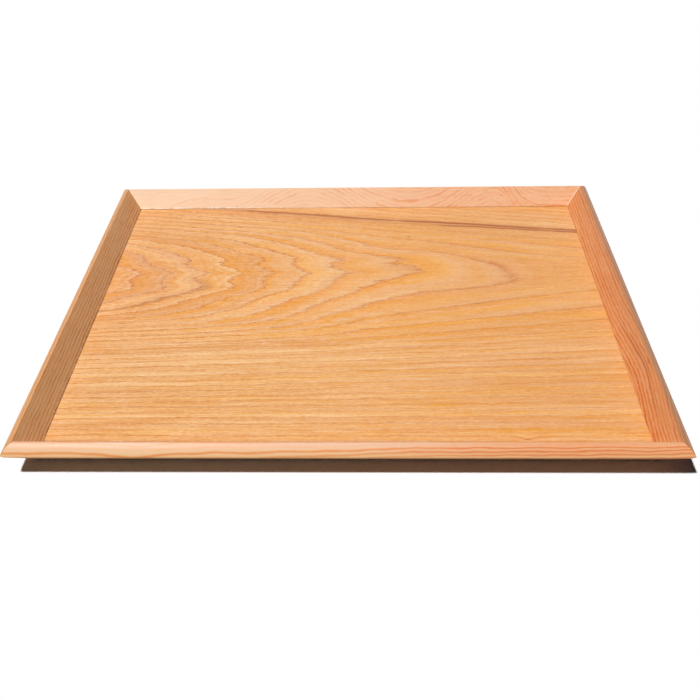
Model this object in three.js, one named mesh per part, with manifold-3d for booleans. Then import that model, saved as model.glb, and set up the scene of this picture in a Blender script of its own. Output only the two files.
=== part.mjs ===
// A wooden serving tray: a veneered plywood panel held in a frame of mitred rails that lean outwards.
// Millimetres, with +X along the tray, +Y to the back, +Z up and the table top at Z = 0.

import * as THREE from 'three';
import { mergeVertices } from 'three/addons/utils/BufferGeometryUtils.js';
import Module from 'manifold-3d';

const wasm = await Module();
wasm.setup();

// Driving dimensions of the whole tray
const TRAY_LENGTH = 450;
const TRAY_WIDTH = 350;
const TRAY_HEIGHT = 26.2;

// Rails
const RAIL_LEAN = 40.5; // degrees from upright, outwards
const RAIL_THICKNESS = 10.6;
const CROWN_RADIUS = 12.5;
const INNER_ARRIS_RADIUS = 0.6;
const OUTER_ARRIS_RADIUS = 1;
const FOOT_EASING = 0.8;
const CORNER_EASING = 1.2;
const MITRE_GAP = 0.3;

// Panel, from its serving surface down
const PANEL_TOP_HEIGHT = 11.5;
const FACE_VENEER_THICKNESS = 0.6;
const CROSS_PLY_THICKNESS = 1;
const CORE_PLY_THICKNESS = 2.3;
const BACK_VENEER_THICKNESS = 0.6;
const GROOVE_DEPTH = 4;
const PANEL_CLEARANCE = 0.3;

// Loose tenons across the mitres
const TENON_THICKNESS = 2.4;
const TENON_WIDTH = 12;
const TENON_TOP_COVER = 5;
const TENON_CLEARANCE = 0.3;

// Each arc gets twice as many facets as this
const ARRIS_SEGMENTS = 8;
const TENON_SEGMENTS = 6;

// Finishes
const FRONT_RAIL_COLOUR = '#f0b98d';
const BACK_RAIL_COLOUR = '#f1bb95';
const LEFT_RAIL_COLOUR = '#dda26c';
const RIGHT_RAIL_COLOUR = '#dd935d';
const FACE_VENEER_COLOUR = '#edaf72';
const PLY_COLOUR = '#cfa27a';
const BACK_VENEER_COLOUR = '#d9a878';
const TENON_COLOUR = '#d8b48c';
const RAIL_ROUGHNESS = 0.45;
const PANEL_ROUGHNESS = 0.4;
const BARE_WOOD_ROUGHNESS = 0.8;

// A rail's section is drawn as (out, up). "Out" starts at the line where the panel meets the rail's inner face.
const lean = THREE.MathUtils.degToRad(RAIL_LEAN);
const upSlope = new THREE.Vector2(Math.sin(lean), Math.cos(lean));
const acrossRail = new THREE.Vector2(Math.cos(lean), -Math.sin(lean));
const panelThickness =
  FACE_VENEER_THICKNESS + 2 * CROSS_PLY_THICKNESS + CORE_PLY_THICKNESS + BACK_VENEER_THICKNESS;
const panelUnderside = PANEL_TOP_HEIGHT - panelThickness;

// A point of the section, so far up the slope and so far through the rail from its inner face
function sectionPoint(along, through) {
  return new THREE.Vector2(0, PANEL_TOP_HEIGHT)
    .addScaledVector(upSlope, along)
    .addScaledVector(acrossRail, through);
}

// How far up the slope a point lies at a given height
function slopeAtHeight(height, through) {
  return (height - PANEL_TOP_HEIGHT + through * Math.sin(lean)) / Math.cos(lean);
}

// How far the centre of an arris lies up the slope from the centre of the crown that it blends into
function arrisAboveCrown(radius) {
  return Math.sqrt((CROWN_RADIUS - radius) ** 2 - (RAIL_THICKNESS / 2 - radius) ** 2);
}

// The inner arris touches the tray's height, which sets where the rail's crowned top edge is
const innerArrisAlong = slopeAtHeight(TRAY_HEIGHT - INNER_ARRIS_RADIUS, INNER_ARRIS_RADIUS);
const crownAlong = innerArrisAlong - arrisAboveCrown(INNER_ARRIS_RADIUS);
const outerArrisAlong = crownAlong + arrisAboveCrown(OUTER_ARRIS_RADIUS);
const innerArris = sectionPoint(innerArrisAlong, INNER_ARRIS_RADIUS);
const crown = sectionPoint(crownAlong, RAIL_THICKNESS / 2);
const outerArris = sectionPoint(outerArrisAlong, RAIL_THICKNESS - OUTER_ARRIS_RADIUS);

// The outer arris is the tray's widest line, so it sets how much of the panel shows
const railReach = outerArris.x + OUTER_ARRIS_RADIUS;
const halfOpeningLength = TRAY_LENGTH / 2 - railReach;
const halfOpeningWidth = TRAY_WIDTH / 2 - railReach;

// Section of a rail: a leaning board, cut level at its foot, grooved for the panel and crowned along its top
function railSection() {
  const innerFoot = sectionPoint(slopeAtHeight(0, 0), 0);
  const outerFoot = sectionPoint(slopeAtHeight(0, RAIL_THICKNESS), RAIL_THICKNESS);
  const grooveRoof = PANEL_TOP_HEIGHT + PANEL_CLEARANCE;
  const roofEdge = sectionPoint(slopeAtHeight(grooveRoof, 0), 0);
  const floorEdge = sectionPoint(slopeAtHeight(panelUnderside, 0), 0);
  const outwards = Math.atan2(acrossRail.y, acrossRail.x);
  const inwards = outwards + Math.PI;
  const outerBlend = outerArris.clone().sub(crown).angle();
  const innerBlend = innerArris.clone().sub(crown).angle();

  const section = new THREE.Shape();
  section.moveTo(innerFoot.x + FOOT_EASING, 0);
  section.lineTo(outerFoot.x - FOOT_EASING, 0);
  section.lineTo(outerFoot.x + FOOT_EASING * upSlope.x, FOOT_EASING * upSlope.y);
  section.absarc(outerArris.x, outerArris.y, OUTER_ARRIS_RADIUS, outwards, outerBlend);
  section.absarc(crown.x, crown.y, CROWN_RADIUS, outerBlend, innerBlend);
  section.absarc(innerArris.x, innerArris.y, INNER_ARRIS_RADIUS, innerBlend, inwards);
  section.lineTo(roofEdge.x, grooveRoof);
  section.lineTo(GROOVE_DEPTH, grooveRoof);
  section.lineTo(GROOVE_DEPTH, panelUnderside);
  section.lineTo(floorEdge.x, panelUnderside);
  section.lineTo(innerFoot.x + FOOT_EASING * upSlope.x, FOOT_EASING * upSlope.y);
  section.closePath();
  return section;
}

// A rail along X on the tray's -Y side. Each end is slid out with the section to make the mitre.
function mitredRail(halfRun, halfAcross) {
  const geometry = new THREE.ExtrudeGeometry(railSection(), {
    depth: 1,
    bevelEnabled: false,
    curveSegments: ARRIS_SEGMENTS,
  });
  const position = geometry.attributes.position;
  const mitreShortening = (MITRE_GAP / 2) * Math.SQRT2;
  for (let i = 0; i < position.count; i += 1) {
    const out = position.getX(i);
    const up = position.getY(i);
    const end = position.getZ(i) > 0 ? -1 : 1;
    position.setXYZ(i, end * (halfRun + out - mitreShortening), -halfAcross - out, up);
  }
  return geometry;
}

// Two leaning rails meet in a corner that leans further than they do
const cornerLean = Math.atan(Math.SQRT2 * Math.tan(lean));
const cornerThickness = (RAIL_THICKNESS / Math.cos(lean)) * Math.SQRT2 * Math.cos(cornerLean);

// Frame of a corner: x goes out through the mitre, y up its slope and z along the mitre's normal
function cornerFrame(cornerX, cornerY) {
  const diagonal = new THREE.Vector3(Math.sign(cornerX), Math.sign(cornerY), 0).normalize();
  const up = new THREE.Vector3(0, 0, 1);
  const through = diagonal.clone().multiplyScalar(Math.cos(cornerLean)).addScaledVector(up, -Math.sin(cornerLean));
  const slope = diagonal.clone().multiplyScalar(Math.sin(cornerLean)).addScaledVector(up, Math.cos(cornerLean));
  const mitreNormal = new THREE.Vector3().crossVectors(through, slope);
  return new THREE.Matrix4()
    .makeBasis(through, slope, mitreNormal)
    .setPosition(cornerX, cornerY, PANEL_TOP_HEIGHT);
}

// The tenon lies in the middle of the mitre, from the panel's level to a little under the top edge
const tenonThrough = cornerThickness / 2;
const tenonBottom = tenonThrough * Math.tan(cornerLean);
const railMiddleTop = sectionPoint(crownAlong + CROWN_RADIUS, RAIL_THICKNESS / 2);
const mitreTop = railMiddleTop.x * Math.SQRT2 * Math.sin(cornerLean)
  + (railMiddleTop.y - PANEL_TOP_HEIGHT) * Math.cos(cornerLean);
const tenonLength = mitreTop - TENON_TOP_COVER - tenonBottom;

// A round-edged tongue in the corner's frame: the tenon itself, or with clearance its mortise
function tongue(clearance) {
  const radius = TENON_THICKNESS / 2 + clearance;
  const halfStraight = tenonLength / 2 - TENON_THICKNESS / 2;
  const depth = TENON_WIDTH + 2 * clearance;
  const outline = new THREE.Shape();
  outline.absarc(0, halfStraight, radius, 0, Math.PI);
  outline.absarc(0, -halfStraight, radius, Math.PI, 2 * Math.PI);
  outline.closePath();
  return new THREE.ExtrudeGeometry(outline, { depth, bevelEnabled: false, curveSegments: TENON_SEGMENTS })
    .translate(tenonThrough, tenonBottom + tenonLength / 2, -depth / 2);
}

// What is planed off the outside of a corner, in the corner's frame
function cornerPlaning() {
  const size = 2 * TRAY_HEIGHT / Math.cos(cornerLean);
  return new THREE.BoxGeometry(size, 2 * size, size)
    .translate(cornerThickness - CORNER_EASING + size / 2, 0, 0);
}

function toSolid(geometry) {
  const bare = geometry.clone();
  bare.deleteAttribute('normal');
  bare.deleteAttribute('uv');
  const merged = mergeVertices(bare);
  return new wasm.Manifold(new wasm.Mesh({
    numProp: 3,
    vertProperties: new Float32Array(merged.attributes.position.array),
    triVerts: new Uint32Array(merged.index.array),
  }));
}

function toGeometry(solid) {
  const mesh = solid.getMesh();
  const geometry = new THREE.BufferGeometry();
  geometry.setAttribute('position', new THREE.BufferAttribute(mesh.vertProperties, mesh.numProp));
  geometry.setIndex(new THREE.BufferAttribute(mesh.triVerts, 1));
  geometry.computeVertexNormals();
  return geometry;
}

// A mitred rail with a mortise in each mitre and its outside corners eased
function railGeometry(halfRun, halfAcross) {
  let solid = toSolid(mitredRail(halfRun, halfAcross));
  for (const end of [-1, 1]) {
    const frame = cornerFrame(end * halfRun, -halfAcross);
    for (const cutter of [tongue(TENON_CLEARANCE), cornerPlaning()]) {
      solid = solid.subtract(toSolid(cutter.applyMatrix4(frame)));
    }
  }
  return toGeometry(solid);
}

function namedMesh(name, geometry, color, roughness) {
  const material = new THREE.MeshStandardMaterial({ color, roughness, metalness: 0 });
  const mesh = new THREE.Mesh(geometry, material);
  mesh.name = name;
  return mesh;
}

// The frame: one rail on each side, turned a quarter turn from the last
function frame() {
  const group = new THREE.Group();
  const sides = [
    ['front_rail', FRONT_RAIL_COLOUR, halfOpeningLength, halfOpeningWidth],
    ['right_rail', RIGHT_RAIL_COLOUR, halfOpeningWidth, halfOpeningLength],
    ['back_rail', BACK_RAIL_COLOUR, halfOpeningLength, halfOpeningWidth],
    ['left_rail', LEFT_RAIL_COLOUR, halfOpeningWidth, halfOpeningLength],
  ];
  sides.forEach(([name, colour, halfRun, halfAcross], turn) => {
    const rail = namedMesh(name, railGeometry(halfRun, halfAcross), colour, RAIL_ROUGHNESS);
    rail.rotation.z = (turn * Math.PI) / 2;
    group.add(rail);
  });
  return group;
}

// The panel: five layers, glued face to face, resting on the floor of the rails' grooves
function panel() {
  const group = new THREE.Group();
  const edgeInGroove = GROOVE_DEPTH - PANEL_CLEARANCE;
  const length = 2 * (halfOpeningLength + edgeInGroove);
  const width = 2 * (halfOpeningWidth + edgeInGroove);
  const layers = [
    ['back_veneer', BACK_VENEER_COLOUR, BACK_VENEER_THICKNESS, PANEL_ROUGHNESS],
    ['lower_ply', PLY_COLOUR, CROSS_PLY_THICKNESS, BARE_WOOD_ROUGHNESS],
    ['core_ply', PLY_COLOUR, CORE_PLY_THICKNESS, BARE_WOOD_ROUGHNESS],
    ['upper_ply', PLY_COLOUR, CROSS_PLY_THICKNESS, BARE_WOOD_ROUGHNESS],
    ['face_veneer', FACE_VENEER_COLOUR, FACE_VENEER_THICKNESS, PANEL_ROUGHNESS],
  ];
  let bottom = panelUnderside;
  for (const [name, colour, thickness, roughness] of layers) {
    const layer = namedMesh(name, new THREE.BoxGeometry(length, width, thickness), colour, roughness);
    layer.position.z = bottom + thickness / 2;
    group.add(layer);
    bottom += thickness;
  }
  return group;
}

// One loose tenon across each mitre
function tenons() {
  const group = new THREE.Group();
  for (const [endName, ySign] of [['front', -1], ['back', 1]]) {
    for (const [sideName, xSign] of [['left', -1], ['right', 1]]) {
      const tenon = namedMesh(`${endName}_${sideName}_tenon`, tongue(0), TENON_COLOUR, BARE_WOOD_ROUGHNESS);
      tenon.applyMatrix4(cornerFrame(xSign * halfOpeningLength, ySign * halfOpeningWidth));
      group.add(tenon);
    }
  }
  return group;
}

const tray = new THREE.Group();
tray.add(frame(), panel(), tenons());

export default tray;
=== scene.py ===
# %% [markdown]
# # A wooden serving tray
# The tray is a flat veneered panel held in the grooves of four rails. The rails lean outwards, have a
# gently crowned top and meet in mitred corners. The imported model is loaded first, as a fixed frame in
# metres: +X runs along the tray, +Y from the front rail to the back rail and +Z upwards from the table.
# Its sheets and tenons already have the right shape and only need their wood. The rails are modelled
# again here, because eased edges and hairline joints are what make them look made by hand.

# %% Load the frame
import math

import bmesh
import bpy
from mathutils import Euler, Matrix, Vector


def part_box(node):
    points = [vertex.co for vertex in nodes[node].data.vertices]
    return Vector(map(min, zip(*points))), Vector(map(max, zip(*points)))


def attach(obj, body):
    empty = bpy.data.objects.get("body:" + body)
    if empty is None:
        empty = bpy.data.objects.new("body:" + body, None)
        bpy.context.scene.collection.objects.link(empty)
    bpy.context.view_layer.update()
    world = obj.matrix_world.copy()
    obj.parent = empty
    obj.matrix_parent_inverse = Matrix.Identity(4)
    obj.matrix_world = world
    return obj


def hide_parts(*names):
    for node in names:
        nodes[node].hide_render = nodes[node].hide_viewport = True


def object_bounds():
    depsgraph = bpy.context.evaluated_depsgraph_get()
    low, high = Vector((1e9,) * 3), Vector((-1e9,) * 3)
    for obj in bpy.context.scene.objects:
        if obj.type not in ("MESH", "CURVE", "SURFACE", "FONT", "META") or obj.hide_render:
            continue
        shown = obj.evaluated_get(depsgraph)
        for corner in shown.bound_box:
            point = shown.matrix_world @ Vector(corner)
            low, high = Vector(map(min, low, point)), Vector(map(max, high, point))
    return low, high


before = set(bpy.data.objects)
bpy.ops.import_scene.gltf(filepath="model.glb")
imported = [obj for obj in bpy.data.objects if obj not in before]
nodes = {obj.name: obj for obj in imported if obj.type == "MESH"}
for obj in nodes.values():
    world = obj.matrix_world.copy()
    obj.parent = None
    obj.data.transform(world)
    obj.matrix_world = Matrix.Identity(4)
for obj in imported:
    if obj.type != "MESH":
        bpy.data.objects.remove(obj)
cad_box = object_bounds()
print("pieces in the frame:", ", ".join(sorted(nodes)))

# %% [markdown]
# ## Measures
# The frame gives the outside of the tray and the place of the panel. The rails' own sizes can't be read
# from a box, so they are named here, in metres. A rail is a board that leans away from the upright, and
# its place follows from the edge of the tray, which its outer arris touches.

# %% Measure the tray
MILLIMETRE = 0.001
RAIL_LEAN = math.radians(40.5)
RAIL_THICKNESS = 10.6 * MILLIMETRE
CROWN_RADIUS = 12.5 * MILLIMETRE
INNER_ARRIS_RADIUS = 0.6 * MILLIMETRE
OUTER_ARRIS_RADIUS = 1 * MILLIMETRE
FOOT_EASING = 0.8 * MILLIMETRE
GROOVE_DEPTH = 4 * MILLIMETRE
PANEL_CLEARANCE = 0.3 * MILLIMETRE

half_length, half_width, tray_height = cad_box[1]
panel_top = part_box("face_veneer")[1][2]
panel_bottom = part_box("back_veneer")[0][2]
lean_sine = math.sin(RAIL_LEAN)
lean_cosine = math.cos(RAIL_LEAN)


def arris_above_crown(radius):
    """How far up the slope an arris's centre lies from the crown's, where the two arcs meet."""
    return math.sqrt((CROWN_RADIUS - radius) ** 2 - (RAIL_THICKNESS / 2 - radius) ** 2)


# "Climb" is measured up the slope of a rail's inner face, from the panel. The inner arris is the tray's
# highest line and the outer arris its widest, so they give the crown's place and the panel's.
inner_arris_climb = (tray_height - panel_top - INNER_ARRIS_RADIUS * (1 - lean_sine)) / lean_cosine
crown_climb = inner_arris_climb - arris_above_crown(INNER_ARRIS_RADIUS)
outer_arris_climb = crown_climb + arris_above_crown(OUTER_ARRIS_RADIUS)
outer_arris_depth = RAIL_THICKNESS - OUTER_ARRIS_RADIUS
opening_inset = outer_arris_climb * lean_sine + outer_arris_depth * lean_cosine + OUTER_ARRIS_RADIUS
print(f"tray {half_length * 2:.3f} by {half_width * 2:.3f} by {tray_height:.4f} m")
print(f"the panel shows {opening_inset / MILLIMETRE:.2f} mm in from the tray's edge")

# %% [markdown]
# ## Helpers for modelling
# Operators act on whatever is selected, so each step first clears the selection and then picks edges or
# faces by where they are. These helpers keep that in one place: one adds a cube as a board, two pick
# parts of it, and the last two score and saw it.

# %% Helpers for modelling


def clear_selection():
    if bpy.context.object and bpy.context.object.mode == "EDIT":
        bpy.ops.object.mode_set(mode="OBJECT")
    bpy.ops.object.select_all(action="DESELECT")


def add_board(name, centre, size, turn=(0, 0, 0)):
    """A new cube of that size, turned and placed, with its place in its mesh, open for editing."""
    clear_selection()
    bpy.ops.mesh.primitive_cube_add(size=1, location=centre, rotation=turn, scale=size)
    board = bpy.context.object
    board.name = name
    bpy.ops.object.transform_apply(location=True, rotation=True, scale=True)
    bpy.ops.object.mode_set(mode="EDIT")
    return board


def pick_faces(board, test):
    """Selects the faces that pass the test, which gets a face's middle and its normal."""
    bpy.ops.mesh.select_mode(type="FACE")
    bpy.ops.mesh.select_all(action="DESELECT")
    shape = bmesh.from_edit_mesh(board.data)
    for face in shape.faces:
        face.select_set(test(face.calc_center_median(), face.normal))
    bmesh.update_edit_mesh(board.data)


def pick_edges(board, test):
    """Selects the edges that pass the test, which gets an edge's two ends."""
    bpy.ops.mesh.select_mode(type="EDGE")
    bpy.ops.mesh.select_all(action="DESELECT")
    shape = bmesh.from_edit_mesh(board.data)
    for edge in shape.edges:
        edge.select_set(test(edge.verts[0].co, edge.verts[1].co))
    bmesh.update_edit_mesh(board.data)


def score(point, normal):
    """Scores the whole mesh along a plane, so that the plane's line becomes edges."""
    bpy.ops.mesh.select_all(action="SELECT")
    bpy.ops.mesh.bisect(plane_co=point, plane_no=normal)


def cut(point, normal):
    """Saws the whole mesh along a plane and throws away the part that the normal points to."""
    bpy.ops.mesh.select_all(action="SELECT")
    bpy.ops.mesh.bisect(plane_co=point, plane_no=normal, clear_outer=True, use_fill=True)


print("modelling helpers ready")

# %% [markdown]
# ## A rail
# A real rail is a planed board. Its foot is sawn level, a groove is ploughed for the panel, the top is
# planed to a low crown and the ends are cut to a mitre. The same steps are taken here on a cube, in the
# place of the front rail. A Boolean could cut the groove too, but two scored lines and an extrusion
# leave a cleaner mesh to plane. The foot is the plane z = 0, and the groove's bottom is flattened
# upright, as a plough leaves it. A bevel could round the top, but planing it in flat strokes gives a
# wide crown between two small arrises.

# %% Shape a rail
BOARD_SPARE = 30 * MILLIMETRE
TOP_SPARE = 1 * MILLIMETRE
CROWN_STROKES = 9
INNER_ARRIS_STROKES = 4
OUTER_ARRIS_STROKES = 5
FOOT_EASING_STEPS = 3
EDGE_TOLERANCE = 0.01 * MILLIMETRE


def rail_point(edge, climb, depth):
    """A point in the middle of a front rail, so far up its slope and so far into it from the inner face."""
    outward = climb * lean_sine + depth * lean_cosine
    return Vector((0, opening_inset - edge - outward, panel_top + climb * lean_cosine - depth * lean_sine))


def rail_board(name, half_run, edge):
    """A leaning board in the place of a front rail whose tray has its front edge at y = -edge."""
    half_board = crown_climb + CROWN_RADIUS + TOP_SPARE
    size = (2 * (half_run + BOARD_SPARE), RAIL_THICKNESS, 2 * half_board)
    board = add_board(name, rail_point(edge, 0, RAIL_THICKNESS / 2), size, turn=(RAIL_LEAN, 0, 0))
    cut((0, 0, 0), (0, 0, -1))
    return board


def plough_groove(board, edge):
    groove_roof = panel_top + PANEL_CLEARANCE
    groove_floor = panel_bottom - PANEL_CLEARANCE
    bottom_depth = -(edge - opening_inset) - GROOVE_DEPTH
    for level in (groove_roof, groove_floor):
        score((0, 0, level), (0, 0, 1))
    pick_faces(board, lambda middle, normal: normal.y > 0.5 and groove_floor < middle.z < groove_roof)
    bpy.ops.mesh.extrude_region_move(TRANSFORM_OT_translate={"value": (0, -GROOVE_DEPTH, 0)})
    bpy.ops.transform.resize(value=(1, 0, 1), center_override=(0, bottom_depth, 0))


def plane_arc(edge, climb, depth, radius, start, end, strokes):
    """Planes an arc along the top in flat strokes. Its angles start from the slope and open outwards."""
    centre = rail_point(edge, climb, depth)
    for stroke in range(strokes):
        angle = start + (end - start) * (stroke + 0.5) / strokes
        normal = rail_point(edge, math.cos(angle), math.sin(angle)) - rail_point(edge, 0, 0)
        cut(centre + normal * radius, normal)


def crown_top(edge):
    middle = RAIL_THICKNESS / 2
    inner_blend = math.atan2(INNER_ARRIS_RADIUS - middle, arris_above_crown(INNER_ARRIS_RADIUS))
    outer_blend = math.atan2(middle - OUTER_ARRIS_RADIUS, arris_above_crown(OUTER_ARRIS_RADIUS))
    plane_arc(edge, crown_climb, middle, CROWN_RADIUS, inner_blend, outer_blend, CROWN_STROKES)
    plane_arc(
        edge, inner_arris_climb, INNER_ARRIS_RADIUS, INNER_ARRIS_RADIUS,
        -math.pi / 2, inner_blend, INNER_ARRIS_STROKES,
    )
    plane_arc(
        edge, outer_arris_climb, outer_arris_depth, OUTER_ARRIS_RADIUS,
        outer_blend, math.pi / 2, OUTER_ARRIS_STROKES,
    )


def ease_foot(board):
    pick_edges(board, lambda start, end: abs(start.y - end.y) + start.z + end.z < EDGE_TOLERANCE)
    bpy.ops.mesh.bevel(offset=FOOT_EASING, segments=FOOT_EASING_STEPS, affect="EDGES")


print("rail steps ready")

# %% [markdown]
# The ends come last. Each is sawn on the tray's diagonal, a hair short of it so that the two rails
# don't run into each other. The outside corner is rounded by planing: each plane touches the same thin
# cylinder, and the last one lies square to the diagonal. A tiny bevel round the mitre leaves the fine V
# that shows at a real joint.

# %% Mitre the ends
HALF_JOINT = 0.06 * MILLIMETRE
CORNER_RADIUS = 5 * MILLIMETRE
CORNER_PLANES = 4
MITRE_EASING = 0.22 * MILLIMETRE
MITRE_EASING_STEPS = 2
SAME_WAY = 0.999


def mitre_end(board, half_run, edge, side):
    """Cuts the end on one side, which is -1 for the left and 1 for the right."""
    saw_normal = Vector((side, 1, 0)).normalized()
    corner = Vector((side * half_run, -edge, 0))
    cut(corner - saw_normal * HALF_JOINT, saw_normal)
    own_face = Vector((0, -lean_cosine, -lean_sine))
    next_face = Vector((side * lean_cosine, 0, -lean_sine))
    sharp_inset = opening_inset - RAIL_THICKNESS / lean_cosine
    sharp_corner = corner + Vector((-side * sharp_inset, sharp_inset, panel_top))
    core = sharp_corner - (own_face + next_face) * CORNER_RADIUS / (1 + own_face.dot(next_face))
    middle_face = (own_face + next_face).normalized()
    for step in range(1, CORNER_PLANES + 1):
        plane = own_face.lerp(middle_face, step / CORNER_PLANES).normalized()
        cut(core + plane * CORNER_RADIUS, plane)
    pick_faces(board, lambda middle, normal: normal.dot(saw_normal) > SAME_WAY)
    bpy.ops.mesh.region_to_loop()
    bpy.ops.mesh.bevel(
        offset=MITRE_EASING, segments=MITRE_EASING_STEPS, affect="EDGES", clamp_overlap=True,
    )


print("mitre cut ready")

# %% [markdown]
# A rail is all these steps in turn. Its mesh is then cleaned, and its curved faces are shaded smooth. A
# Weighted Normal modifier makes the wide flat faces look flat right up to their eased edges. The back
# rail is a copy of the front one, turned half round. The two short rails are made in the same way and
# then turned to the ends.

# %% Make the four rails
MERGE_DISTANCE = 0.002 * MILLIMETRE
SMOOTH_ANGLE = math.radians(35)
FLAT_FACE_WEIGHT = 100


def make_rail(name, half_run, edge):
    board = rail_board(name, half_run, edge)
    plough_groove(board, edge)
    crown_top(edge)
    ease_foot(board)
    for side in (-1, 1):
        mitre_end(board, half_run, edge, side)
    bpy.ops.mesh.select_all(action="SELECT")
    bpy.ops.mesh.remove_doubles(threshold=MERGE_DISTANCE)
    bpy.ops.mesh.normals_make_consistent(inside=False)
    bpy.ops.object.mode_set(mode="OBJECT")
    bpy.ops.object.shade_smooth_by_angle(angle=SMOOTH_ANGLE)
    bpy.ops.object.modifier_add(type="WEIGHTED_NORMAL")
    flat_faces = board.modifiers[-1]
    flat_faces.weight = FLAT_FACE_WEIGHT
    flat_faces.keep_sharp = True
    bpy.ops.object.modifier_apply(modifier=flat_faces.name)
    return board


def select_only(rail):
    clear_selection()
    rail.select_set(True)
    bpy.context.view_layer.objects.active = rail


def turn_rail(rail, angle):
    """Turns a rail about the middle of the tray, with the turn in its mesh."""
    select_only(rail)
    rail.rotation_euler = (0, 0, angle)
    bpy.ops.object.transform_apply(location=False, rotation=True, scale=False)


def turned_copy(rail, name, angle):
    """A copy of a rail with its own mesh."""
    select_only(rail)
    bpy.ops.object.duplicate(linked=False)
    copy = bpy.context.object
    copy.name = name
    turn_rail(copy, angle)
    return copy


front_turn = 0
back_turn = math.pi
left_turn = -math.pi / 2
right_turn = math.pi / 2
front_rail = make_rail("front_rail_board", half_length, half_width)
back_rail = turned_copy(front_rail, "back_rail_board", back_turn)
left_rail = make_rail("left_rail_board", half_width, half_length)
right_rail = turned_copy(left_rail, "right_rail_board", math.pi)
turn_rail(left_rail, left_turn)
turn_rail(right_rail, left_turn)
rails = {"front_rail": front_rail, "back_rail": back_rail, "left_rail": left_rail, "right_rail": right_rail}
for node, rail in rails.items():
    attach(rail, "root")
    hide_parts(node)
    print(node, "has", len(rail.data.polygons), "faces")

# %% [markdown]
# ## Shader arithmetic
# A wood is a formula: how far a point lies from the heart of the tree gives its growth ring, and noise
# bends it. Adding Math nodes one by one would hide that formula. So a small class wraps an output
# socket, and its operators add the Math nodes, which lets the formula be written as plain arithmetic.

# %% Wires


class Wire:
    """One output socket. Arithmetic on it adds Math nodes and gives the socket of the result."""

    def __init__(self, recipe, socket):
        self.recipe = recipe
        self.socket = socket

    def math(self, operation, *values):
        return self.recipe.node("ShaderNodeMath", {"operation": operation}, dict(enumerate(values)))

    def output(self, name):
        """Another output of the same node."""
        return Wire(self.recipe, self.socket.node.outputs[name])

    def __add__(self, other):
        return self.math("ADD", self, other)

    def __sub__(self, other):
        return self.math("SUBTRACT", self, other)

    def __rsub__(self, other):
        return self.math("SUBTRACT", other, self)

    def __mul__(self, other):
        return self.math("MULTIPLY", self, other)

    def __truediv__(self, other):
        return self.math("DIVIDE", self, other)

    def __rtruediv__(self, other):
        return self.math("DIVIDE", other, self)

    def __pow__(self, other):
        return self.math("POWER", self, other)

    def __rpow__(self, other):
        return self.math("POWER", other, self)

    def __mod__(self, other):
        return self.math("FLOORED_MODULO", self, other)

    def __neg__(self):
        return self.math("MULTIPLY", self, -1)

    def __abs__(self):
        return self.math("ABSOLUTE", self)

    __radd__ = __add__
    __rmul__ = __mul__

    def most(self, other):
        return self.math("MAXIMUM", self, other)

    def least(self, other):
        return self.math("MINIMUM", self, other)

    def soft_most(self, other, seam):
        """The larger of two values, with a rounded seam where they are alike."""
        return self.math("SMOOTH_MAX", self, other, seam)

    def soft_least(self, other, seam):
        return self.math("SMOOTH_MIN", self, other, seam)

    def rise(self, low, high):
        """0 below low and 1 above high, with a soft step between them."""
        sockets = {"Value": self, "From Min": low, "From Max": high}
        return self.recipe.node("ShaderNodeMapRange", {"interpolation_type": "SMOOTHSTEP"}, sockets)


print("wires ready")

# %% [markdown]
# A recipe holds the nodes of one material, or of the sky, and adds every other node through one method.
# It can also tell light that shows a thing to the camera from light that only falls on other things.
# That is how a floor or a sky can look white without lighting the tray more.

# %% Recipes


class Recipe:
    """The nodes of a material or of the sky."""

    def __init__(self, tree):
        self.tree = tree
        self.tree.nodes.clear()

    def node(self, kind, settings=None, sockets=None, output=0):
        """Adds a node, makes its settings, then gives its input sockets their values or links."""
        added = self.tree.nodes.new(kind)
        for name, value in (settings or {}).items():
            if name == "stops":
                self.set_stops(added.color_ramp.elements, value)
            else:
                setattr(added, name, value)
        for name, value in (sockets or {}).items():
            self.feed(added.inputs[name], value)
        return Wire(self, added.outputs[output])

    def set_stops(self, elements, stops):
        """Gives a ramp, which starts with two elements, its places and colours."""
        for _ in stops[2:]:
            elements.new(1)
        for element, (place, colour) in zip(elements, stops):
            element.position = place
            element.color = colour

    def feed(self, socket, value):
        if isinstance(value, Wire):
            self.tree.links.new(value.socket, socket)
        else:
            socket.default_value = value

    def show(self, output_kind, surface):
        """Adds the output node, which shows the surface."""
        shown = self.tree.nodes.new(output_kind)
        self.feed(shown.inputs["Surface"], surface)

    def show_by_sight(self, output_kind, seen, lighting):
        """The camera sees one surface, also in gloss and through glass, and the other gives the light."""
        sight = self.node("ShaderNodeLightPath", output="Is Camera Ray")
        sight = sight.most(sight.output("Is Glossy Ray")).most(sight.output("Is Transmission Ray"))
        self.show(output_kind, self.node("ShaderNodeMixShader", None, {0: sight, 1: lighting, 2: seen}))


print("recipes ready")

# %% [markdown]
# A finish is a recipe around one Principled shader, with a few helpers for colours, noise and places.
# Under it stand three soft shapes, which most marks in the wood are made of, and two functions for
# numbers and colours.

# %% Finishes


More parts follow.
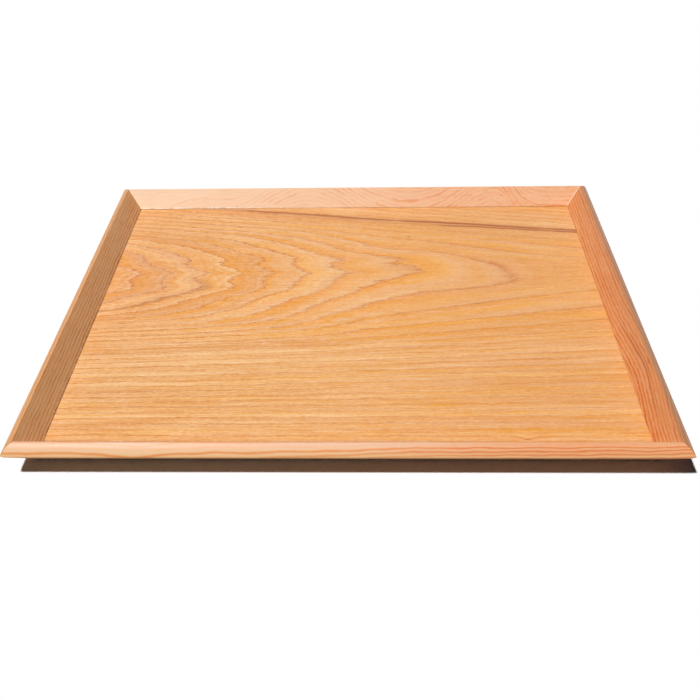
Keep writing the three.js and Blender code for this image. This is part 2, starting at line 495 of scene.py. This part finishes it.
class Finish(Recipe):
    """A material being written, with one Principled shader."""

    def __init__(self, name):
        self.material = bpy.data.materials.new(name)
        self.material.use_nodes = True
        super().__init__(self.material.node_tree)
        shaded = self.node("ShaderNodeBsdfPrincipled")
        self.shader = shaded.socket.node
        self.show("ShaderNodeOutputMaterial", shaded)

    def surface(self, **values):
        """Sets the shader's sockets: base_color feeds Base Color, and so on."""
        for name, value in values.items():
            self.feed(self.shader.inputs[name.replace("_", " ").title()], value)

    def lacquer(self):
        """A thin satin lacquer, the same all over."""
        for name, value in {"Specular IOR Level": 0.25, "Coat Weight": 0.08, "Coat Roughness": 0.3}.items():
            self.shader.inputs[name].default_value = value

    def bump(self, height, strength, distance=0.1 * MILLIMETRE):
        """A normal that follows a height."""
        return self.node(
            "ShaderNodeBump", None, {"Strength": strength, "Distance": distance, "Height": height},
        )

    def blend(self, factor, first, second, mode="MIX"):
        """Mixes two colours: the first where the factor is 0 and the second where it is 1."""
        settings = {"data_type": "RGBA", "blend_type": mode}
        return self.node("ShaderNodeMix", settings, {0: factor, 6: first, 7: second}, output=2)

    def sway(self, amount, colour, above, below, below_share=1):
        """Pulls a colour to one side where the amount is above 0 and to the other where it is below."""
        colour = self.blend(amount.most(0), colour, above)
        return self.blend((-below_share * amount).most(0), colour, below)

    def ramp(self, factor, *stops):
        """A colour that changes with the factor, from stops of a place and a colour."""
        return self.node("ShaderNodeValToRGB", {"stops": stops}, {"Fac": factor})

    def noise(self, x, y, z, detail=2):
        """Soft noise from about -1 to 1 that changes over a step of one in x, y or z."""
        place = self.node("ShaderNodeCombineXYZ", None, {0: x, 1: y, 2: z})
        sockets = {"Vector": place, "Scale": 1, "Detail": detail, "Roughness": 0.5}
        return self.node("ShaderNodeTexNoise", None, sockets) * 2 - 1

    def chance(self, value):
        """A number from 0 to 1 that is different for each whole value."""
        return self.node("ShaderNodeTexWhiteNoise", {"noise_dimensions": "1D"}, {"W": value})

    def millimetres(self, turn=0.0):
        """The place on the piece in millimetres, turned about the middle of the tray."""
        place = self.node("ShaderNodeTexCoord", output="Object")
        sockets = {"Vector": place, "Rotation": (0, 0, turn), "Scale": (1 / MILLIMETRE,) * 3}
        turned = self.node("ShaderNodeMapping", {"vector_type": "POINT"}, sockets)
        x = self.node("ShaderNodeSeparateXYZ", None, {0: turned})
        return x, x.output("Y"), x.output("Z")


def hump(wire):
    """A soft hill: 1 where the wire is 0, fading to 0 by about 2 on either side."""
    return math.e ** -(wire * wire)


def cone(wire):
    """A pointed hill: 1 where the wire is 0, falling straight to 0 at 1 on either side."""
    return (1 - abs(wire)).most(0)


def spot(x, y, place, spread):
    """A soft spot at a place, with its spread in both directions."""
    return hump((x - place[0]) / spread[0]) * hump((y - place[1]) / spread[1])


def between(factor, first, second):
    """A number that goes from the first to the second as the factor goes from 0 to 1."""
    return first + (second - first) * factor


def paint(red, green, blue):
    """A colour from its values on a screen, 0 to 255, as the linear colour that a shader takes."""
    linear = []
    for value in (red / 255, green / 255, blue / 255):
        linear.append(value / 12.92 if value <= 0.04045 else ((value + 0.055) / 1.055) ** 2.4)
    return (*linear, 1)


print("finishes ready")

# %% [markdown]
# ## The face veneer
# The panel shows flat-sliced veneer. Rings cut at a low slant leave a nest of arches with pointed tips,
# and rings cut steeply leave long lines along the front and the back. The formula gives each point of
# the sheet a height in the tree: one slope for the arches and one for each set of lines. The highest
# wins, with a soft seam between them, and equal steps of that height are the growth rings. The last
# arch has a blunt, smooth nose, and noise of three sizes makes the other lines ragged.

# %% Rings of the face veneer
RING_STEP = 30


def veneer_rings(finish, x, y):
    """Ring numbers over the sheet, and how far a point belongs to the long lines. x starts at the left."""
    off_axis = y - 31
    flanks = 0.57 * off_axis.soft_most(0, 6) + 1.3 * (-off_axis).soft_most(0, 6)
    front_tip = (16.5 - 19.5 * x.rise(60, 240)) * cone((y - 22.5) / 14)
    main_tip = (19 - 10.5 * x.rise(250, 330)) * cone((y - 46) / 12.7)
    back_tip = (17 * x.rise(0, 120) + 7 * x.rise(120, 190)) * hump((y - 67.5) / 11)
    between_tips = 10 * x.rise(190, 260) * hump((y - 56) / 6)
    tips = front_tip + main_tip + back_tip + between_tips
    nose = 2.6 + (0.00087 * abs(y - 44) ** 3).soft_least(flanks, 8)
    blunt = x.rise(265, 320)
    slope = 15 + 0.24 * x + 0.8 * x.soft_least(213, 60)
    arches = slope + (flanks - tips) * (1 - blunt) + nose * blunt
    back_lines = 0.665 * x + 4.35 * y - 323
    front_lines = (0.343 + 0.0035 * (y + 45)) * x - 5.7 * y + 30
    height = arches.soft_most(back_lines, 120).soft_most(front_lines, 120)
    in_lines = (height - arches).rise(15, 70)
    ragged = 9 * finish.noise(x / 42, y / 13, 0.5) + 6 * finish.noise(x / 11, y / 2.4, 3.5)
    ragged = ragged + 4.5 * finish.noise(x / 5, y / 1.2, 6.5)
    smooth = 0.7 * x.rise(200, 300) * (1 - in_lines)
    return (height + ragged * (1 - smooth)) / RING_STEP, in_lines


print("veneer rings ready")

# %% [markdown]
# A ring starts with an orange band and fades to a pale tan before the next one. Two ramps hold those
# colours, one for the arches and one for the long lines, where the pale part is stronger. Broad bands
# of yellow and tan follow the rings, and so do finer ones that are lighter or deeper. Slow changes over
# the whole sheet come last: it is deeper on the right and at the back, and paler in the front left.
# Close to the front rail it is darkened with painted shade.

# %% Tones of the face veneer
YELLOW_BAND = paint(243, 167, 44)
TAN_BAND = paint(228, 171, 126)
LIGHT_BAND = paint(251, 203, 147)
DEEP_BAND = paint(216, 136, 68)


def ring_tones(finish, phase, in_lines):
    """The colours from the start of one ring to the next."""
    arch_colour = finish.ramp(
        phase,
        (0.0, paint(226, 146, 72)), (0.1, paint(238, 158, 70)), (0.36, paint(241, 168, 86)),
        (0.62, paint(240, 176, 111)), (0.88, paint(237, 179, 123)), (1.0, paint(226, 160, 104)),
    )
    line_colour = finish.ramp(
        phase,
        (0.0, paint(232, 162, 96)), (0.25, paint(237, 169, 101)), (0.55, paint(239, 176, 111)),
        (0.8, paint(241, 181, 119)), (1.0, paint(234, 166, 102)),
    )
    return finish.blend(in_lines, arch_colour, line_colour)


def veneer_tones(finish, x, y, ring, in_lines):
    """The colour of the sheet before its lines and its grain."""
    phase = ring % 1
    colour = ring_tones(finish, phase, in_lines)
    cloud = finish.noise(x / 110, y / 50, 9.5)
    right_part = (0.5 * x.rise(170, 360) + 0.2 * cloud).most(0)
    colour = finish.blend(right_part, colour, paint(219, 152, 85))
    left_arches = (1 - x.rise(0, 130)) * hump((y - 35) / 50)
    colour = finish.blend(0.45 * left_arches, colour, paint(226, 152, 104))
    tint = 1.25 * finish.noise(x / 120, 2.7 * ring, 5.5)
    colour = finish.sway(tint, colour, YELLOW_BAND, TAN_BAND)

    chance = finish.chance(ring - phase)
    bands = finish.noise(x / 150, 2.3 * ring, 4.5)
    fine_bands = finish.noise(x / 60, 7 * ring, 8.5)
    lighter = 0.4 * (chance - 0.5) + 0.7 * bands * in_lines + (0.6 + 0.4 * in_lines) * fine_bands
    contrast = 1.55 - 0.8 * x.rise(60, 360)
    colour = finish.sway(contrast * lighter, colour, LIGHT_BAND, DEEP_BAND, below_share=0.8)

    colour = finish.blend(0.11 * y.rise(20, 150), colour, paint(200, 146, 92))
    front_left = (1 - x.rise(120, 330)) * (1 - y.rise(-90, 0))
    colour = finish.blend(0.16 * front_left, colour, paint(242, 204, 138))
    # Painted shade: the veneer is darkened in a strip along the foot of the front rail.
    painted_shade_by_front_rail = 1 - y.rise(-154, -150)
    return finish.blend(0.4 * painted_shade_by_front_rail, colour, paint(178, 112, 62))


print("veneer tones ready")

# %% [markdown]
# Where a ring starts, a thin dark line of dense wood shows, strong in the arches and faint in the long
# lines. A few thinner lines lie between them on the left, and one broad brown ring. A double dark
# streak leaves the back rail and runs across to the right, and it is drawn as a line of its own because
# it cuts across the rings.

# %% Lines and streak of the face veneer


def veneer_lines(finish, colour, x, y, ring, in_lines):
    """Draws the lines, and gives the colour and the rings' starts alone, which the bump needs too."""
    phase = ring % 1
    chance = finish.chance(ring - phase)
    sharpness = 38 - 22 * in_lines
    ring_starts = phase ** sharpness + (1 - phase) ** (2 * sharpness)
    patches = finish.noise(x / 60, y / 25, 7.5).rise(-0.6, 0.5)
    strength = patches * (0.3 + 0.7 * chance) * (1 - 0.7 * in_lines)
    strength = 0.25 + 0.75 * strength + 0.45 * (1 - x.rise(80, 180))
    colour = finish.blend((0.9 * ring_starts * strength).least(0.9), colour, paint(174, 84, 40))
    side_line = (3 * ring % 1) ** 14 * (1 - x.rise(90, 200)) * (1 - in_lines)
    colour = finish.blend(0.45 * side_line, colour, paint(168, 88, 44))
    brown_ring = hump((ring - 3.1) / 0.18) * (1 - x.rise(85, 120)) * (1 - y.rise(20, 45))
    colour = finish.blend(0.6 * brown_ring, colour, paint(176, 104, 58))
    return colour, ring_starts


def veneer_streak(finish, colour, x, y):
    middle = 164 - 0.128 * x - 2 * hump((x - 235) / 45) + 0.8 * finish.noise(x / 25, 0.5, 5.5)
    above = y - middle
    line = 0.75 * hump(above / (1.9 - 0.6 * x.rise(140, 240)))
    second_line = 0.65 * x.rise(270, 300) * hump((above + 7.5 - 0.01 * x) / 1.1)
    shade = 0.28 * x.rise(80, 150) * hump((above + 2) / 4)
    wear = finish.noise(x / 30, y / 20, 6.5).rise(-0.7, 0.2) * x.rise(40, 100)
    streak = (line + second_line + shade) * (0.3 + 0.7 * wear)
    return finish.blend(streak.least(0.75), colour, paint(150, 60, 16))


print("veneer lines ready")

# %% [markdown]
# The finish puts these together. Fibres and short open pores lie along the grain and feed the bump as
# well. A pin knot puckers the lines near the front rail, which is done by moving the place before the
# rings are worked out, and one dark fleck lies near the back. A clear satin lacquer lies over it all.

# %% Finish of the face veneer
PIN_KNOT = (327, -151)
FLECK = (256, 102.5)
PALE_FIBRE = paint(253, 216, 176)
DARK_PORE = paint(213, 126, 20)


def face_veneer_finish():
    finish = Finish("honey_veneer")
    x, y = finish.millimetres()[:2]
    x = x + (half_length - opening_inset) / MILLIMETRE
    pin_knot = spot(x, y, PIN_KNOT, (2.2, 0.9))
    pucker = math.e ** (-abs(x - PIN_KNOT[0]) / 7) * hump((y + 150) / 8)
    y = y + 3.5 * pucker
    ring, in_lines = veneer_rings(finish, x, y)
    colour = veneer_tones(finish, x, y, ring, in_lines)
    colour, ring_starts = veneer_lines(finish, colour, x, y, ring, in_lines)

    fibre = finish.noise(x / 28, y / 0.8, 1.5, detail=3)
    pores = finish.noise(x / 3, y / 0.45, 2.5, detail=1)
    grain = (0.6 * fibre + 0.65 * pores) * (1.2 - 0.4 * x.rise(100, 330))
    colour = finish.sway(grain, colour, PALE_FIBRE, DARK_PORE, below_share=1.1)
    colour = veneer_streak(finish, colour, x, y)
    colour = finish.blend(0.6 * spot(x, y, FLECK, (1.6, 0.9)), colour, paint(120, 80, 46))
    colour = finish.blend(0.7 * pin_knot, colour, paint(190, 96, 50))
    bump = finish.bump(fibre + pores - ring_starts, strength=0.22)
    finish.surface(base_color=colour, roughness=0.45 - 0.05 * pores, normal=bump)
    finish.lacquer()
    return finish.material


nodes["face_veneer"].material_slots[0].material = face_veneer_finish()
print("face veneer finished")

# %% [markdown]
# ## The rails' wood
# The rails are solid softwood, and every rail comes from a different board. A place on a rail is given
# in the rail's own directions: along it, up its inner face, which is its climb, and into its thickness,
# which is its depth. A small formula for each rail says how its grain runs, and the lines are equal
# steps of it: long waves on the front rail, tall arches on the back one and fine, nearly straight lines
# on the short ones.

# %% Figures of the rails
arris_climb = inner_arris_climb / MILLIMETRE


def front_figure(finish, along, climb, depth):
    waves = 1.9 * finish.noise(along / 50, 0.5, 1.5) + 1.1 * finish.noise(along / 20, depth / 5, 2.5)
    from_bold_line = depth - 7.9 + 3.5 * along.rise(-80, 60) - 2.5 * hump((along + 134) / 20) + waves
    closer = 1 + 0.5 * along.rise(-60, 90)
    return (from_bold_line + 0.3 * (climb - arris_climb)) * closer


def back_figure(finish, along, climb, depth):
    middle_arch = 42 * hump((along - 42) / 58)
    right_arch = 40 * hump((along + 135) / (22 + 26 * along.rise(-155, -115)))
    left_arch = 8 * hump((along - 149) / 25)
    waves = 2.4 * finish.noise(along / 30, climb / 14, 3.5) + 1.8 * finish.noise(along / 8, climb / 4, 4.5)
    return climb + 0.6 * depth - (middle_arch + right_arch + left_arch) + waves


def left_figure(finish, along, climb, depth):
    waves = 1.6 * finish.noise(along / 60, climb / 25, 5.5) + 0.7 * finish.noise(along / 10, climb / 4, 6.5)
    return climb + 0.5 * depth + waves


def right_figure(finish, along, climb, depth):
    arch = 7 * hump((along + 88) / 50)
    waves = 1.4 * finish.noise(along / 55, climb / 25, 7.5) + 0.8 * finish.noise(along / 10, climb / 4, 8.5)
    return climb + 0.5 * depth - arch + waves


print("rail figures ready")

# %% [markdown]
# Some marks belong to one rail only. The front has four bold lines, a paler outer crown that is painted
# light and a darker inner arris that is painted shade. The back has orange flames near its right end,
# and along its foot dark dashes of painted shade in the gap, with pale dashes of painted highlight above
# them. The left has dark dashes of painted shade along its foot. The right has one bold line with a knot,
# a pale patch, and painted shade that darkens its inner face towards the top.

# %% Marks of the rails
FRONT_SPACING = 3.3
FRONT_LINE_STRENGTHS = ((0.85, 0.8), (0.65, 0.85), (0.3, 0.7), (0.5, 0.7))


def front_marks(finish, colour, figure, along, climb, depth):
    pale_middle = hump((along - 10) / 60) * (1 - depth.rise(2, 6))
    colour = finish.blend(0.4 * pale_middle, colour, paint(240, 206, 180))
    # Painted light: the outer part of the crown is painted paler, to make up for the light it loses as it
    # turns from the sun.
    outer_painted_light = finish.blend(along.rise(-60, 150), paint(255, 212, 164), paint(246, 174, 118))
    colour = finish.blend(0.85 * depth.rise(2.5, 8), colour, outer_painted_light)
    colour = finish.blend(0.75 * depth.rise(7.5, 9.5), colour, paint(255, 198, 138))
    right_part = along.rise(-20, 120)
    line_colour = finish.blend(right_part, paint(238, 142, 68), paint(222, 118, 58))
    for count, strengths in enumerate(FRONT_LINE_STRENGTHS):
        bold_line = hump((figure - count * FRONT_SPACING) / 0.75)
        colour = finish.blend(between(right_part, *strengths) * bold_line, colour, line_colour)
    # Painted shade: a dark line along the inner arris, where it turns away from the light.
    arris_shade = (climb - arris_climb).rise(-0.6, 0) * (1 - depth.rise(0.3, 0.9))
    return finish.blend(0.5 * arris_shade, colour, paint(196, 132, 88))


def back_marks(finish, colour, figure, along, climb, depth):
    near_right_end = 1 - along.rise(-120, -60)
    flames = finish.noise(along / 7, climb / 3 + along / 9, 2.5).rise(0.1, 0.5) * near_right_end
    colour = finish.blend(0.5 * flames, colour, paint(236, 138, 78))
    dashes = finish.noise(along / 5, 0.5, 1.5)
    # Painted shade: dark dashes at the foot, in the gap between the rail and the panel.
    gap_shade = hump(climb / 0.6) * (-dashes).rise(-0.2, 0.2)
    colour = finish.blend(0.5 * gap_shade, colour, paint(150, 84, 44))
    # Painted highlight: pale dashes just above the gap, along the rail's lower edge.
    painted_highlight = hump((climb - 1) / 0.7) * along.rise(70, 140) * dashes.rise(-0.25, 0.2)
    return finish.blend(painted_highlight, colour, paint(255, 244, 226))


def left_marks(finish, colour, figure, along, climb, depth):
    # Painted shade: dark dashes along the foot, where the rail meets the panel on its shaded side.
    pores = hump((climb - 0.8) / 0.6) * finish.noise(along / 3, 0.5, 3.5).rise(-0.1, 0.3)
    return finish.blend(0.6 * pores, colour, paint(130, 76, 40))


def right_marks(finish, colour, figure, along, climb, depth):
    bold_line = spot(figure, along, (6.4, -84), (0.45, 45))
    knot = spot(along, climb, (-87, 18), (3, 0.6))
    colour = finish.blend((bold_line + 0.8 * knot).least(0.92), colour, paint(146, 70, 30))
    # Painted shade: the inner face darkens towards the top, away from the light bounced up from the panel.
    colour = finish.blend(0.3 * climb.rise(2, 20), colour, paint(180, 120, 84))
    patch = spot(along, climb, (116, 2.7), (7, 1.2))
    return finish.blend(0.45 * patch, colour, paint(244, 190, 118))


print("rail marks ready")

# %% [markdown]
# One function turns a figure and its marks into a finish. Each line is a ramp from the pale early wood
# to the deep late wood, with its own strength, and it fades in patches. A rail's colours change from
# one end to the other, so each comes as a pair. The top of a rail has its own tone. Some mitres have a
# thin pale line close to the cut, which is painted highlight where the eased edge catches the light.

# %% Finish of a rail


def rail_place(finish, turn, half_run, edge):
    """Where a point lies on a rail: along it, up its inner face, into it, and in from the nearer mitre."""
    along, across, height = finish.millimetres(-turn)
    outward = -across - (edge - opening_inset) / MILLIMETRE
    above = height - panel_top / MILLIMETRE
    climb = lean_sine * outward + lean_cosine * above
    depth = lean_cosine * outward - lean_sine * above
    to_mitre = (half_run - opening_inset) / MILLIMETRE + outward - abs(along)
    return along, climb, depth, to_mitre


def rail_finish(name, turn, half_run, edge, wood):
    finish = Finish(name)
    along, climb, depth, to_mitre = rail_place(finish, turn, half_run, edge)
    half_opening = (half_run - opening_inset) / MILLIMETRE
    far_end = along.rise(-half_opening, half_opening)
    seed = wood["seed"]

    figure = wood["figure"](finish, along, climb, depth)
    line = figure / wood["spacing"] + seed
    phase = line % 1
    chance = finish.chance(line - phase)
    patches = finish.noise(along / 16, climb / 6, depth / 6 + seed).rise(-0.4, 0.4)
    fading = 1 - wood["patchy"] * (1 - patches)
    late = phase.rise(wood["onset"], 0.85) * (1 - phase.rise(0.88, 1)) * (0.3 + 0.7 * chance) * fading
    fibre = wood["grain"] * finish.noise(along / 22, climb / 0.6, depth / 0.6 + seed, detail=3)
    pores = wood["grain"] * finish.noise(along / 3.5, climb / 0.5, depth / 0.5 + seed, detail=1)
    cloud = finish.noise(along / 60, climb / 12, depth / 12 + seed + 2)

    early_colour = finish.blend(far_end, *wood["pale"])
    late_colour = finish.blend(far_end, *wood["deep"])
    ripeness = 0.2 + 0.2 * cloud + between(far_end, *wood["contrast"]) * late
    colour = finish.blend(ripeness.least(1), early_colour, late_colour)
    colour = finish.blend((0.22 * fibre + 0.2 * pores).most(0), colour, paint(255, 228, 196))
    colour = finish.blend((-0.2 * fibre - 0.16 * pores).most(0), colour, late_colour)
    on_top = (climb - arris_climb).rise(-0.5, 0.5)
    colour = finish.blend(on_top, colour, wood["top"], mode="MULTIPLY")
    colour = wood["marks"](finish, colour, figure, along, climb, depth)
    # Painted highlight: a thin pale line close to the mitre, on the rails that have it.
    painted_highlight = hump(to_mitre / 0.8) * between(far_end.rise(0.49, 0.51), *wood["painted_highlight"])
    colour = finish.blend(painted_highlight, colour, paint(255, 240, 215))

    bump = finish.bump(0.7 * fibre + 0.4 * pores + 0.5 * late, strength=0.3)
    finish.surface(base_color=colour, roughness=0.45 - 0.05 * fibre, normal=bump)
    finish.lacquer()
    return finish.material


print("rail finish ready")

# %% [markdown]
# The four boards differ in these few values. Pale and deep are the early and the late wood at both
# ends. Spacing is the distance between lines, onset says where in a line the late wood begins, and
# contrast how strong it gets. Patchy is how much the lines fade, and grain how strong the fibres are.
# The seed picks other noise and other strengths for the lines.

# %% The four boards
NO_PAINTED_HIGHLIGHT = (0, 0)
SAME_TONE = (1, 1, 1, 1)

front_wood = {
    "figure": front_figure,
    "marks": front_marks,
    "pale": (paint(233, 190, 155), paint(236, 180, 134)),
    "deep": (paint(243, 152, 76), paint(232, 128, 56)),
    "top": SAME_TONE,
    "spacing": FRONT_SPACING, "onset": 0.45, "contrast": (0.95, 0.95), "patchy": 0.2, "grain": 1.2,
    "painted_highlight": NO_PAINTED_HIGHLIGHT, "seed": 13.85,
}
back_wood = {
    "figure": back_figure,
    "marks": back_marks,
    "pale": (paint(246, 197, 156), paint(251, 220, 189)),
    "deep": (paint(228, 141, 82), paint(240, 182, 134)),
    "top": SAME_TONE,
    "spacing": 4.4, "onset": 0.2, "contrast": (0.9, 0.5), "patchy": 0.8, "grain": 1.3,
    "painted_highlight": (1, 0.5), "seed": 19.54,
}
left_wood = {
    "figure": left_figure,
    "marks": left_marks,
    "pale": (paint(250, 193, 132), paint(252, 197, 136)),
    "deep": (paint(199, 125, 66), paint(203, 129, 70)),
    "top": (0.8, 0.7, 0.56, 1),
    "spacing": 2.4, "onset": 0.2, "contrast": (1, 1), "patchy": 0.5, "grain": 2,
    "painted_highlight": NO_PAINTED_HIGHLIGHT, "seed": 5.5,
}
right_wood = {
    "figure": right_figure,
    "marks": right_marks,
    "pale": (paint(230, 153, 91), paint(230, 155, 95)),
    "deep": (paint(190, 95, 35), paint(191, 99, 40)),
    "top": (0.88, 0.98, 1, 1),
    "spacing": 2.6, "onset": 0.2, "contrast": (1, 1), "patchy": 0.35, "grain": 1.5,
    "painted_highlight": NO_PAINTED_HIGHLIGHT, "seed": 7.5,
}


def dress(piece, material):
    piece.data.materials.clear()
    piece.data.materials.append(material)


dress(front_rail, rail_finish("pale_rail_wood", front_turn, half_length, half_width, front_wood))
dress(back_rail, rail_finish("peach_rail_wood", back_turn, half_length, half_width, back_wood))
dress(left_rail, rail_finish("brown_rail_wood", left_turn, half_width, half_length, left_wood))
dress(right_rail, rail_finish("orange_rail_wood", right_turn, half_width, half_length, right_wood))
print("rails finished")

# %% [markdown]
# ## The hidden wood
# The plies and the loose tenons only show at an edge or through a joint, but they are real wood too.
# One plain straight-grained finish serves them, in the direction that the grain of each sheet runs.

# %% Finish of the plies, the back veneer and the tenons
SATIN = 0.45
BARE = 0.7


def plain_finish(name, pale, deep, grain_turn, roughness):
    finish = Finish(name)
    along, across, height = finish.millimetres(grain_turn)
    band = finish.noise(along / 160, across / 6, height / 2)
    fibre = finish.noise(along / 30, across / 0.8, height / 0.8 + 3.5, detail=3)
    pores = finish.noise(along / 6, across / 0.35, height + 1.5, detail=1).rise(0.3, 0.6)
    colour = finish.blend(0.5 + 0.5 * band, pale, deep)
    colour = finish.blend((0.3 * fibre).most(0), colour, paint(250, 214, 170))
    colour = finish.blend(0.3 * pores, colour, paint(120, 72, 40))
    bump = finish.bump(fibre - pores, strength=0.4, distance=0.12 * MILLIMETRE)
    finish.surface(base_color=colour, roughness=roughness + 0.08 * pores, normal=bump)
    return finish.material


along_tray = 0
across_tray = math.pi / 2
across_mitre = math.pi / 4
cross_ply = plain_finish("cross_ply_wood", paint(206, 158, 110), paint(178, 124, 82), across_tray, BARE)
core_ply = plain_finish("core_ply_wood", paint(214, 168, 120), paint(190, 136, 92), along_tray, BARE)
back_veneer = plain_finish("back_veneer_wood", paint(226, 172, 118), paint(200, 140, 90), along_tray, SATIN)
tenon = plain_finish("tenon_wood", paint(222, 178, 130), paint(198, 148, 100), across_mitre, BARE)
hidden_wood = {
    "upper_ply": cross_ply, "core_ply": core_ply, "lower_ply": cross_ply, "back_veneer": back_veneer,
}
for corner in ("front_left", "front_right", "back_left", "back_right"):
    hidden_wood[f"{corner}_tenon"] = tenon
for node, material in hidden_wood.items():
    nodes[node].material_slots[0].material = material
print("hidden wood finished")

# %% [markdown]
# ## Floor, light and camera
# The floor is plain white. It is drawn with a full white where the camera looks at it, and with a grey
# where it only reflects light, so that it keeps the tray's shadow and doesn't add much light to the
# wood.

# %% Floor
FLOOR_SIZE = 12
WHITE = (1, 1, 1, 1)
FLOOR_GREY = (0.3, 0.3, 0.3, 1)

clear_selection()
bpy.ops.mesh.primitive_plane_add(size=FLOOR_SIZE, location=(0, 0, 0))
floor = bpy.context.object
floor.name = "floor"
floor_material = bpy.data.materials.new("white_floor")
floor_material.use_nodes = True
floor_recipe = Recipe(floor_material.node_tree)
seen_floor = floor_recipe.node("ShaderNodeBsdfDiffuse", None, {"Color": WHITE})
lighting_floor = floor_recipe.node("ShaderNodeBsdfDiffuse", None, {"Color": FLOOR_GREY})
floor_recipe.show_by_sight("ShaderNodeOutputMaterial", seen_floor, lighting_floor)
dress(floor, floor_material)
print("floor made")

# %% [markdown]
# A sun lamp gives the shadow along the front, with a slightly soft edge. A faint, bluish sky fills the
# rest, and the camera sees plain white in its place.

# %% Light
SUN_STRENGTH = 3.39
SUN_TRAVEL = Vector((0.341, 0.24, -1))
SUN_ANGLE = math.radians(4)
SKY_STRENGTH = 0.012
SKY_COLOUR = (0.4, 0.8, 1.5, 1)

clear_selection()
bpy.ops.object.light_add(type="SUN", location=(-0.5, -0.5, 1.5))
sun = bpy.context.object
sun.rotation_euler = SUN_TRAVEL.to_track_quat("-Z", "Y").to_euler()
sun.data.energy = SUN_STRENGTH
sun.data.angle = SUN_ANGLE

world = bpy.context.scene.world or bpy.data.worlds.new("studio")
bpy.context.scene.world = world
world.use_nodes = True
sky = Recipe(world.node_tree)
seen_sky = sky.node("ShaderNodeBackground", None, {"Color": WHITE, "Strength": 1})
lighting_sky = sky.node("ShaderNodeBackground", None, {"Color": SKY_COLOUR, "Strength": SKY_STRENGTH})
sky.show_by_sight("ShaderNodeOutputWorld", seen_sky, lighting_sky)
print("sun and sky made")

# %% [markdown]
# The camera stands in front of the tray, a little to the right, and looks down at it. Its lens, place
# and turns were found by laying the tray's edges over the photograph's.

# %% Camera
CAMERA_PLACE = (0.01858, -0.53117, 0.40976)
CAMERA_SENSOR = 36
CAMERA_LENS = 41.81
CAMERA_NEAREST = 0.01
CAMERA_PITCH = math.radians(40.042)
CAMERA_YAW = math.radians(-2.065)
CAMERA_ROLL = math.radians(-1.459)

clear_selection()
bpy.ops.object.camera_add(location=CAMERA_PLACE)
camera = bpy.context.object
camera.data.sensor_width = CAMERA_SENSOR
camera.data.lens = CAMERA_LENS
camera.data.clip_start = CAMERA_NEAREST
facing = Euler((math.pi / 2 - CAMERA_PITCH, 0, -CAMERA_YAW))
facing.rotate_axis("Z", CAMERA_ROLL)
camera.rotation_euler = facing
bpy.context.scene.camera = camera
bpy.context.scene.view_settings.view_transform = "Standard"
print("camera at", CAMERA_PLACE)

# %% [markdown]
# ## End
# The scene is complete. The visual model must keep the size of the imported one.

# %% End
print("scene complete")
